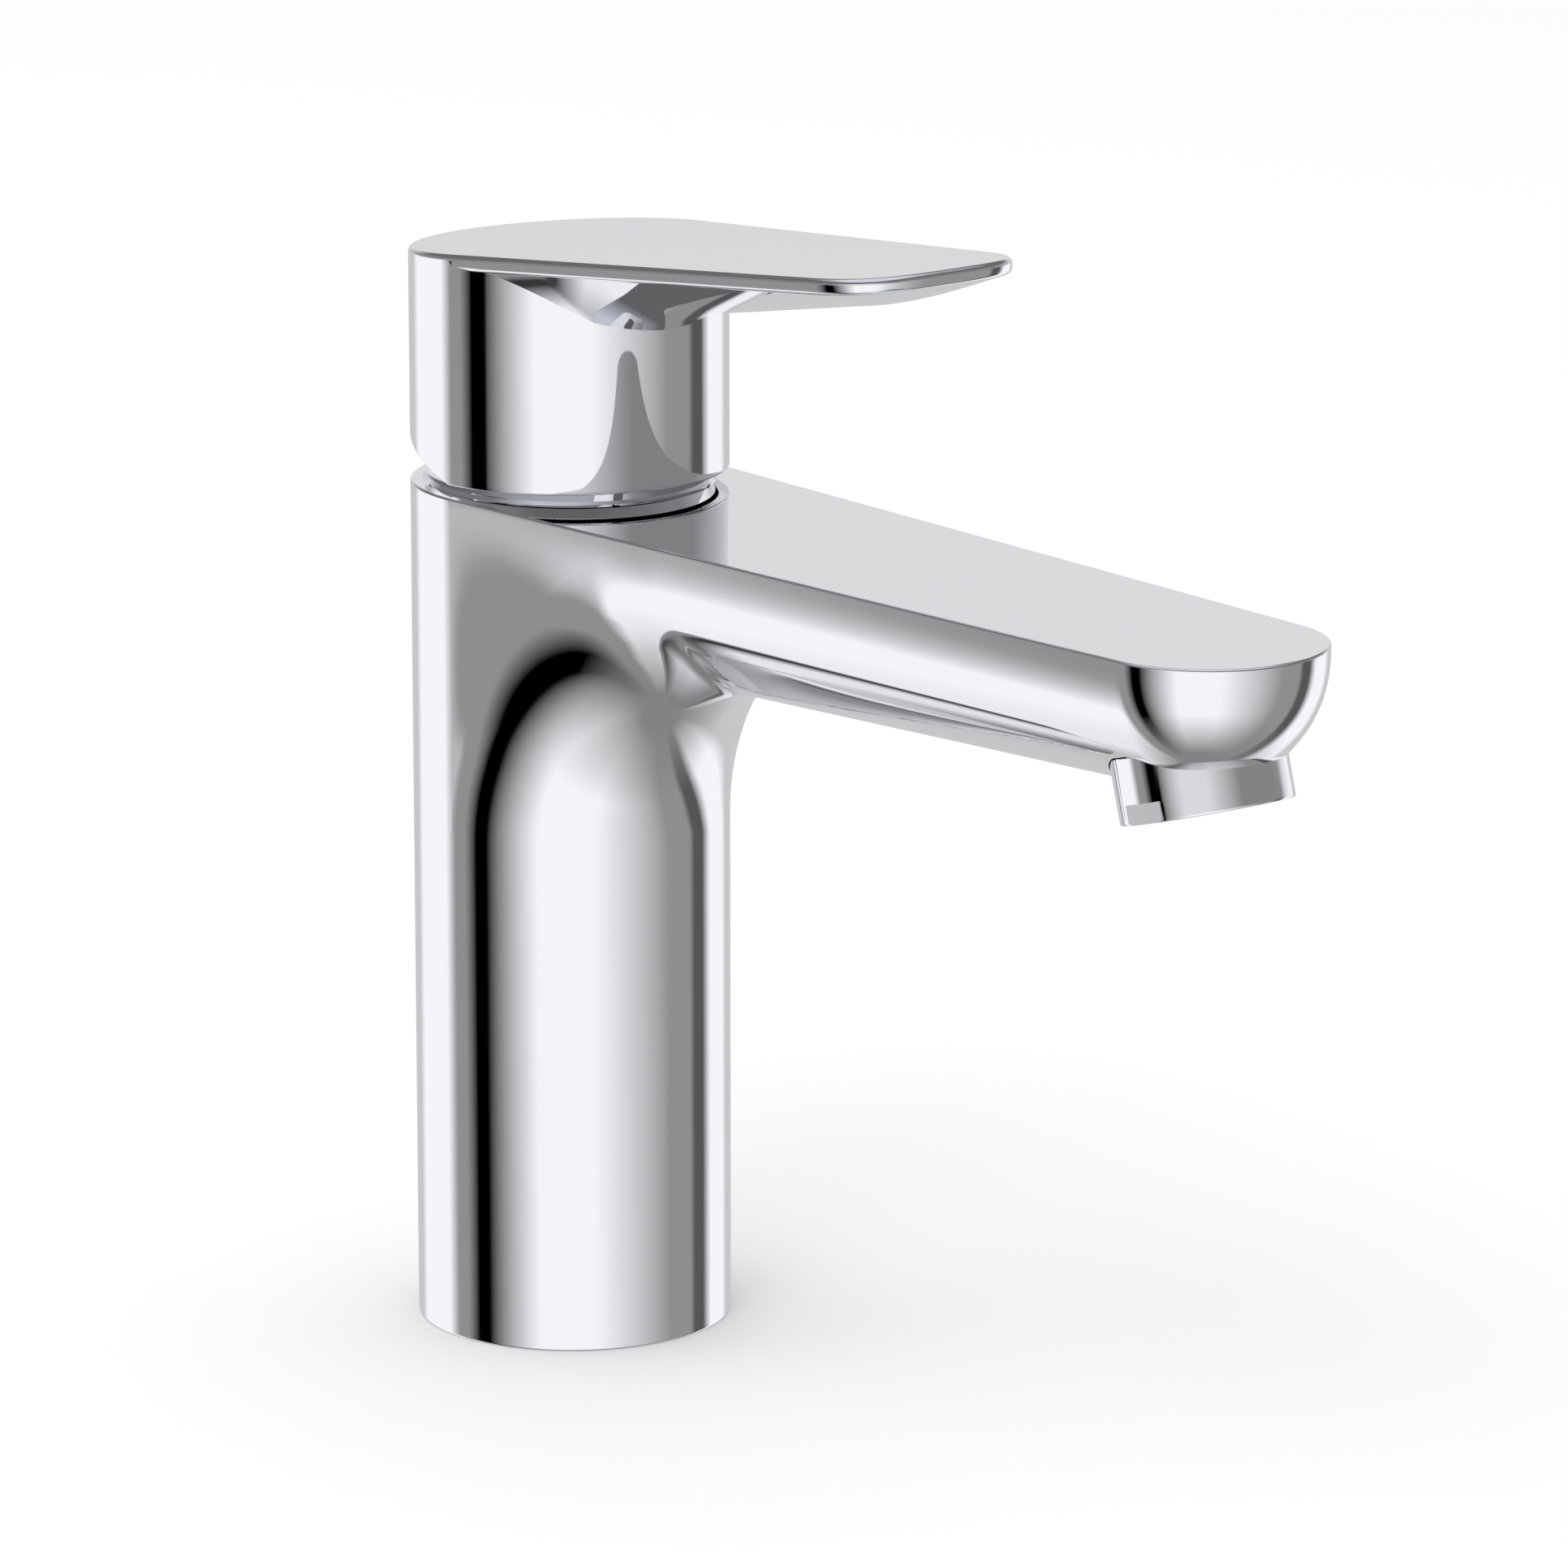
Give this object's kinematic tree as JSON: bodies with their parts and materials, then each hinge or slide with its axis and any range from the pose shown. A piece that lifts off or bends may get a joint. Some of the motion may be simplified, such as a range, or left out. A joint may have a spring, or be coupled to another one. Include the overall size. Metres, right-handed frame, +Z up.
{
  "type": "basin mixer faucet",
  "caption": "Single-lever bathroom basin mixer: round chrome pillar, flat-topped tapering spout with keel and hollows beneath, tilted aerator, lever that lifts and turns.",
  "frame": {"origin": "centre of the pillar's flat foot, on the deck it is bolted to", "axes": "+X runs along the spout from the pillar to the nose, +Y to the cold side, +Z up along the pillar"},
  "size_m": [0.1733, 0.046, 0.1661],
  "materials": {
    "chrome": "polished chrome plate over brass or zinc",
    "black_rubber": "moulded black rubber",
    "white_plastic": "moulded white acetal",
    "ceramic": "lapped white alumina",
    "brass": "turned brass",
    "red_plastic": "moulded red plastic",
    "grey_plastic": "moulded grey plastic",
    "green_plastic": "moulded green plastic",
    "blue_plastic": "moulded blue-grey plastic",
    "steel": "turned stainless steel",
    "hot_enamel": "pale pink enamel inlay",
    "cold_enamel": "pale blue enamel inlay"
  },
  "bodies": {
    "faucet_body": {"body_casting": "chrome", "foot_seal": "black_rubber", "cartridge_base": "white_plastic", "port_seals": "black_rubber", "disc_seals": "black_rubber", "fixed_disc": "ceramic", "cartridge_housing": "white_plastic", "retaining_nut": "brass", "trim_ring": "chrome", "temperature_stop": "red_plastic", "aerator_shell": "chrome", "jet_former": "grey_plastic", "aerator_cage": "white_plastic", "aerator_washer": "black_rubber", "flow_regulator": "green_plastic"},
    "swivel": {"swivel_guide": "grey_plastic", "guide_ring": "black_rubber", "pivot_pin": "steel"},
    "disc": {"moving_disc": "ceramic", "disc_carrier": "blue_plastic"},
    "lever": {"spindle": "steel", "spindle_bush": "white_plastic", "lever_handle": "chrome", "set_screw": "steel", "screw_plug": "chrome", "hot_mark": "hot_enamel", "cold_mark": "cold_enamel"}
  },
  "joints": [
    {"name": "swivel_turn", "type": "hinge", "parent": "faucet_body", "child": "swivel", "pos_m": [0, 0, 0.134], "axis": [0, 0, 1], "range_deg": [-45, 45]},
    {"name": "lever_lift", "type": "hinge", "parent": "swivel", "child": "lever", "pos_m": [0, 0, 0.134], "axis": [0, -1, 0], "range_deg": [0, 20]},
    {"name": "disc_slide", "type": "slide", "parent": "swivel", "child": "disc", "axis": [1, 0, 0], "range_m": [0, 0.006]}
  ],
  "couplings": [
    {"joint": "disc_slide", "follows": "lever_lift", "m_per_rad": 0.0165}
  ]
}
